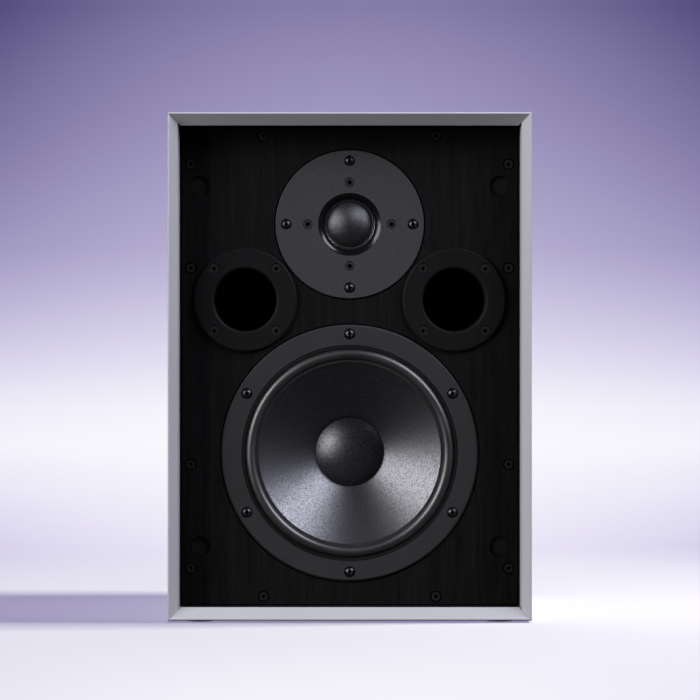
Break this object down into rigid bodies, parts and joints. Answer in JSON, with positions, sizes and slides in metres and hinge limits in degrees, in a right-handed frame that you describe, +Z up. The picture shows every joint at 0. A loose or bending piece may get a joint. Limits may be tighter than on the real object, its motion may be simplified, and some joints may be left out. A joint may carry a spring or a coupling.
{
  "type": "active speaker",
  "caption": "Two-way active bookshelf speaker: bevelled cabinet, recessed screwed baffle, dome tweeter, cone woofer, reflex ports, rear amplifier plate with heatsink and controls.",
  "frame": {"origin": "on the floor, at the middle of the whole speaker's width and depth", "axes": "+Z up, the front faces -Y, +X to the right as seen from the front"},
  "size_m": [0.255, 0.315, 0.3575],
  "materials": {
    "lacquer": "light grey satin lacquer on board",
    "black_board": "black stained board with an upright grain",
    "foam": "closed foam",
    "rubber": "semi-gloss rubber",
    "black_screws": "black coated steel",
    "socket_magnet": "black coated magnet",
    "port_plastic": "fine matt texture",
    "faceplate": "fine textured dark grey",
    "dome_fabric": "coated woven fabric",
    "coil_copper": "enamelled copper wire",
    "bright_ring": "turned",
    "motor_steel": "plated steel",
    "ferrite": "sintered ferrite",
    "black_plastic": "moulded",
    "basket_paint": "dark powder coat on cast aluminium",
    "cone_polymer": "coated, with a fine sheen",
    "cap_polymer": "matt, coated",
    "former_aluminium": "thin foil",
    "spider_cloth": "resin-treated cloth",
    "plate_paint": "black anodised",
    "sink_aluminium": "black anodised extrusion",
    "winding": "core with a taped copper winding",
    "board": "glass-fibre board",
    "contact_brass": "plated brass"
  },
  "bodies": {
    "cabinet": {"left_side_panel": "lacquer", "right_side_panel": "lacquer", "top_panel": "lacquer", "bottom_panel": "lacquer", "rear_panel": "black_board", "front_baffle": "black_board", "baffle_seal": "foam", "baffle_screws": "black_screws", "grille_magnets": "socket_magnet", "rubber_feet": "rubber", "left_port": "port_plastic", "right_port": "port_plastic", "port_screws": "black_screws", "tweeter_faceplate": "faceplate", "tweeter_surround": "dome_fabric", "tweeter_dome_ring": "bright_ring", "tweeter_top_plate": "motor_steel", "tweeter_magnet": "ferrite", "tweeter_pole_plate": "motor_steel", "tweeter_rear_chamber": "black_plastic", "tweeter_mounting_screws": "black_screws", "tweeter_motor_screws": "black_screws", "woofer_basket": "basket_paint", "woofer_seal": "foam", "woofer_clamp_ring": "rubber", "woofer_surround": "rubber", "woofer_spider": "spider_cloth", "woofer_top_plate": "motor_steel", "woofer_magnet": "ferrite", "woofer_pole_plate": "motor_steel", "woofer_terminals": "black_plastic", "woofer_screws": "black_screws", "amplifier_plate": "plate_paint", "heatsink": "sink_aluminium", "amplifier_screws": "black_screws", "transformer": "winding", "transformer_bolt": "motor_steel", "circuit_board": "board", "capacitors": "black_plastic", "power_transistors": "black_plastic", "mains_inlet": "black_plastic", "inlet_pins": "contact_brass", "switch_housing": "black_plastic", "jack_socket": "black_plastic", "phono_socket": "contact_brass", "socket_nuts": "motor_steel", "potentiometers": "motor_steel"},
    "woofer_moving_assembly": {"woofer_cone": "cone_polymer", "woofer_dust_cap": "cap_polymer", "woofer_former": "former_aluminium", "woofer_coil": "coil_copper"},
    "tweeter_moving_assembly": {"tweeter_dome": "dome_fabric", "tweeter_voice_coil": "coil_copper"},
    "power_rocker": {"power_rocker": "black_plastic"},
    "volume_knob": {"volume_knob": "black_plastic"},
    "treble_knob": {"treble_knob": "black_plastic"},
    "bass_knob": {"bass_knob": "black_plastic"}
  },
  "joints": [
    {"name": "woofer_cone_travel", "type": "slide", "parent": "cabinet", "child": "woofer_moving_assembly", "axis": [0, -1, 0], "range_m": [-0.004, 0.004], "stiffness_N_per_m": 1200, "deforming": ["woofer_surround", "woofer_spider"]},
    {"name": "tweeter_dome_travel", "type": "slide", "parent": "cabinet", "child": "tweeter_moving_assembly", "axis": [0, -1, 0], "range_m": [-0.0005, 0.0005], "stiffness_N_per_m": 800, "deforming": ["tweeter_surround"]},
    {"name": "power_rocker_throw", "type": "hinge", "parent": "cabinet", "child": "power_rocker", "pos_m": [-0.036, 0.1355, 0.0875], "axis": [-1, 0, 0], "range_deg": [0, 16]},
    {"name": "volume_knob_turn", "type": "hinge", "parent": "cabinet", "child": "volume_knob", "pos_m": [0.044, 0.1435, 0.1615], "axis": [0, 1, 0], "range_deg": [-150, 150]},
    {"name": "treble_knob_turn", "type": "hinge", "parent": "cabinet", "child": "treble_knob", "pos_m": [0, 0.1435, 0.1615], "axis": [0, 1, 0], "range_deg": [-150, 150]},
    {"name": "bass_knob_turn", "type": "hinge", "parent": "cabinet", "child": "bass_knob", "pos_m": [-0.04, 0.1435, 0.1615], "axis": [0, 1, 0], "range_deg": [-150, 150]}
  ]
}
